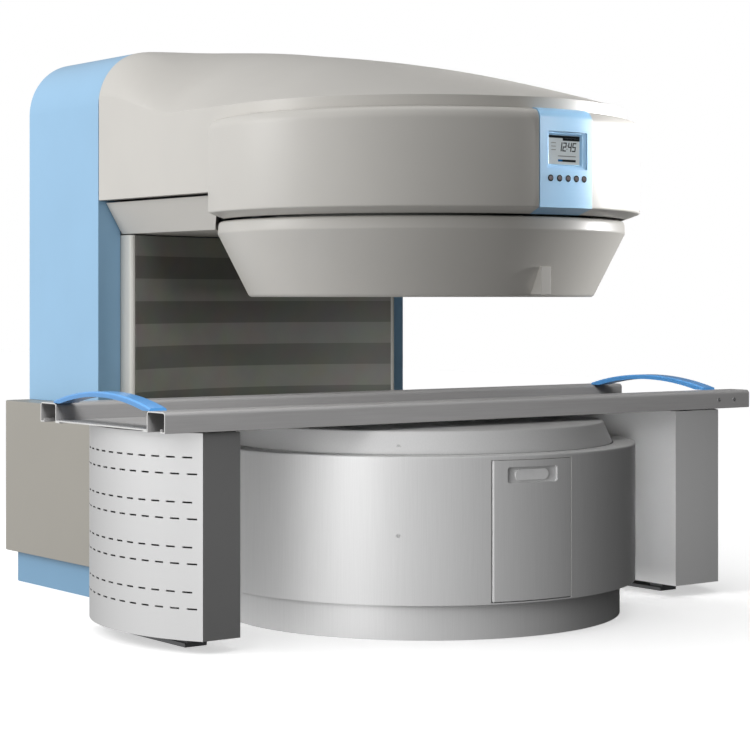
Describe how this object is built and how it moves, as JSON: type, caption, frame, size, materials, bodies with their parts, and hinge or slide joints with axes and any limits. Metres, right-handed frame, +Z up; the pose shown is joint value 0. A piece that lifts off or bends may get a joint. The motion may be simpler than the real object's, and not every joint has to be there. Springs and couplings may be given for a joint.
{
  "type": "open mri scanner",
  "caption": "Open C-shaped magnetic resonance scanner: a rear column carries an upper magnet drum over a lower one, with a sliding patient table between them.",
  "frame": {"origin": "on the floor, on the vertical axis shared by the two round poles", "axes": "+X along the patient table, +Y from the front drums to the rear column, +Z up"},
  "size_m": [2.39, 2.212, 1.905],
  "materials": {
    "grey_cover": "satin painted fibreglass",
    "blue_cover": "satin painted fibreglass",
    "beige_cover": "satin painted fibreglass",
    "striped_panel": "satin, painted in level bands",
    "silver_cover": "satin silver",
    "white_insert": "satin",
    "brushed_sheet": "brushed upright",
    "painted_frame": "satin",
    "yoke_steel": "primed",
    "pin_steel": "zinc plated",
    "magnet_alloy": "nickel plated",
    "coil_resin": "cast resin",
    "display_frame": "satin",
    "screen_glass": "lit display",
    "circuit_board": "lacquered",
    "dark_ring": "satin",
    "button_cap": "gloss",
    "light_lens": "dark lens",
    "black_plastic": "matt",
    "rail_aluminium": "satin anodised",
    "tray_aluminium": "fine ribbed",
    "blue_handle": "gloss",
    "roller_nylon": "natural nylon"
  },
  "bodies": {
    "gantry": {"arm_cover": "grey_cover", "arm_soffit_cover": "grey_cover", "base_plinth": "blue_cover", "button_rings": "dark_ring", "cable_gland": "black_plastic", "column_front_panel": "striped_panel", "control_board": "circuit_board", "control_panel": "blue_cover", "display_bezel": "display_frame", "display_screen": "screen_glass", "door_pivot_pins": "pin_steel", "drum_plinth": "silver_cover", "floor_plate": "yoke_steel", "front_guide_rail": "rail_aluminium", "left_band_cover": "grey_cover", "left_pedestal_cover": "brushed_sheet", "left_pedestal_frame": "painted_frame", "levelling_feet": "pin_steel", "lower_drum_cover": "silver_cover", "lower_gradient_coil": "coil_resin", "lower_magnet_disc": "magnet_alloy", "lower_pole_cover": "silver_cover", "lower_pole_shoe": "yoke_steel", "lower_rear_housing": "beige_cover", "lower_rf_coil": "coil_resin", "lower_yoke": "yoke_steel", "positioning_light_housing": "grey_cover", "positioning_light_lens": "light_lens", "rear_column_cover": "blue_cover", "rear_guide_rail": "rail_aluminium", "rear_service_panel": "beige_cover", "rear_yoke_column": "yoke_steel", "right_band_cover": "grey_cover", "right_pedestal_cover": "brushed_sheet", "right_pedestal_frame": "painted_frame", "roller_axles": "pin_steel", "upper_gradient_coil": "coil_resin", "upper_magnet_disc": "magnet_alloy", "upper_pole_cover": "grey_cover", "upper_pole_shoe": "yoke_steel", "upper_rf_coil": "coil_resin", "upper_yoke": "yoke_steel", "yoke_bolts": "pin_steel"},
    "tabletop": {"front_side_rail": "rail_aluminium", "rear_side_rail": "rail_aluminium", "tabletop_tray": "tray_aluminium", "left_handle": "blue_handle", "right_handle": "blue_handle", "handle_screws": "pin_steel"},
    "door": {"access_door": "silver_cover", "door_pull_insert": "white_insert"},
    "front_left_roller": {"front_left_roller": "roller_nylon"},
    "front_right_roller": {"front_right_roller": "roller_nylon"},
    "rear_left_roller": {"rear_left_roller": "roller_nylon"},
    "rear_right_roller": {"rear_right_roller": "roller_nylon"},
    "button_1": {"button_1": "button_cap"},
    "button_2": {"button_2": "button_cap"},
    "button_3": {"button_3": "button_cap"},
    "button_4": {"button_4": "button_cap"},
    "button_5": {"button_5": "button_cap"}
  },
  "joints": [
    {"name": "table_slide", "type": "slide", "parent": "gantry", "child": "tabletop", "axis": [1, 0, 0], "range_m": [-0.5, 0.5]},
    {"name": "door_hinge", "type": "hinge", "parent": "gantry", "child": "door", "pos_m": [-0.23725, -0.65432, 0.33], "axis": [0, 0, -1], "range_deg": [0, 100]},
    {"name": "front_left_roller_spin", "type": "hinge", "parent": "gantry", "child": "front_left_roller", "pos_m": [-0.6, -0.343, 0.6837], "axis": [0, 1, 0], "range_deg": [-1600, 1600]},
    {"name": "front_right_roller_spin", "type": "hinge", "parent": "gantry", "child": "front_right_roller", "pos_m": [0.6, -0.343, 0.6837], "axis": [0, 1, 0], "range_deg": [-1600, 1600]},
    {"name": "rear_left_roller_spin", "type": "hinge", "parent": "gantry", "child": "rear_left_roller", "pos_m": [-0.6, 0.343, 0.6837], "axis": [0, 1, 0], "range_deg": [-1600, 1600]},
    {"name": "rear_right_roller_spin", "type": "hinge", "parent": "gantry", "child": "rear_right_roller", "pos_m": [0.6, 0.343, 0.6837], "axis": [0, 1, 0], "range_deg": [-1600, 1600]},
    {"name": "button_1_press", "type": "slide", "parent": "gantry", "child": "button_1", "axis": [0, 1, 0], "range_m": [0, 0.002], "stiffness_N_per_m": 500, "springref_m": -0.001},
    {"name": "button_2_press", "type": "slide", "parent": "gantry", "child": "button_2", "axis": [0, 1, 0], "range_m": [0, 0.002], "stiffness_N_per_m": 500, "springref_m": -0.001},
    {"name": "button_3_press", "type": "slide", "parent": "gantry", "child": "button_3", "axis": [0, 1, 0], "range_m": [0, 0.002], "stiffness_N_per_m": 500, "springref_m": -0.001},
    {"name": "button_4_press", "type": "slide", "parent": "gantry", "child": "button_4", "axis": [0, 1, 0], "range_m": [0, 0.002], "stiffness_N_per_m": 500, "springref_m": -0.001},
    {"name": "button_5_press", "type": "slide", "parent": "gantry", "child": "button_5", "axis": [0, 1, 0], "range_m": [0, 0.002], "stiffness_N_per_m": 500, "springref_m": -0.001}
  ],
  "couplings": [
    {"joint": "front_left_roller_spin", "follows": "table_slide", "rad_per_m": 55.556},
    {"joint": "front_right_roller_spin", "follows": "table_slide", "rad_per_m": 55.556},
    {"joint": "rear_left_roller_spin", "follows": "table_slide", "rad_per_m": 55.556},
    {"joint": "rear_right_roller_spin", "follows": "table_slide", "rad_per_m": 55.556}
  ]
}
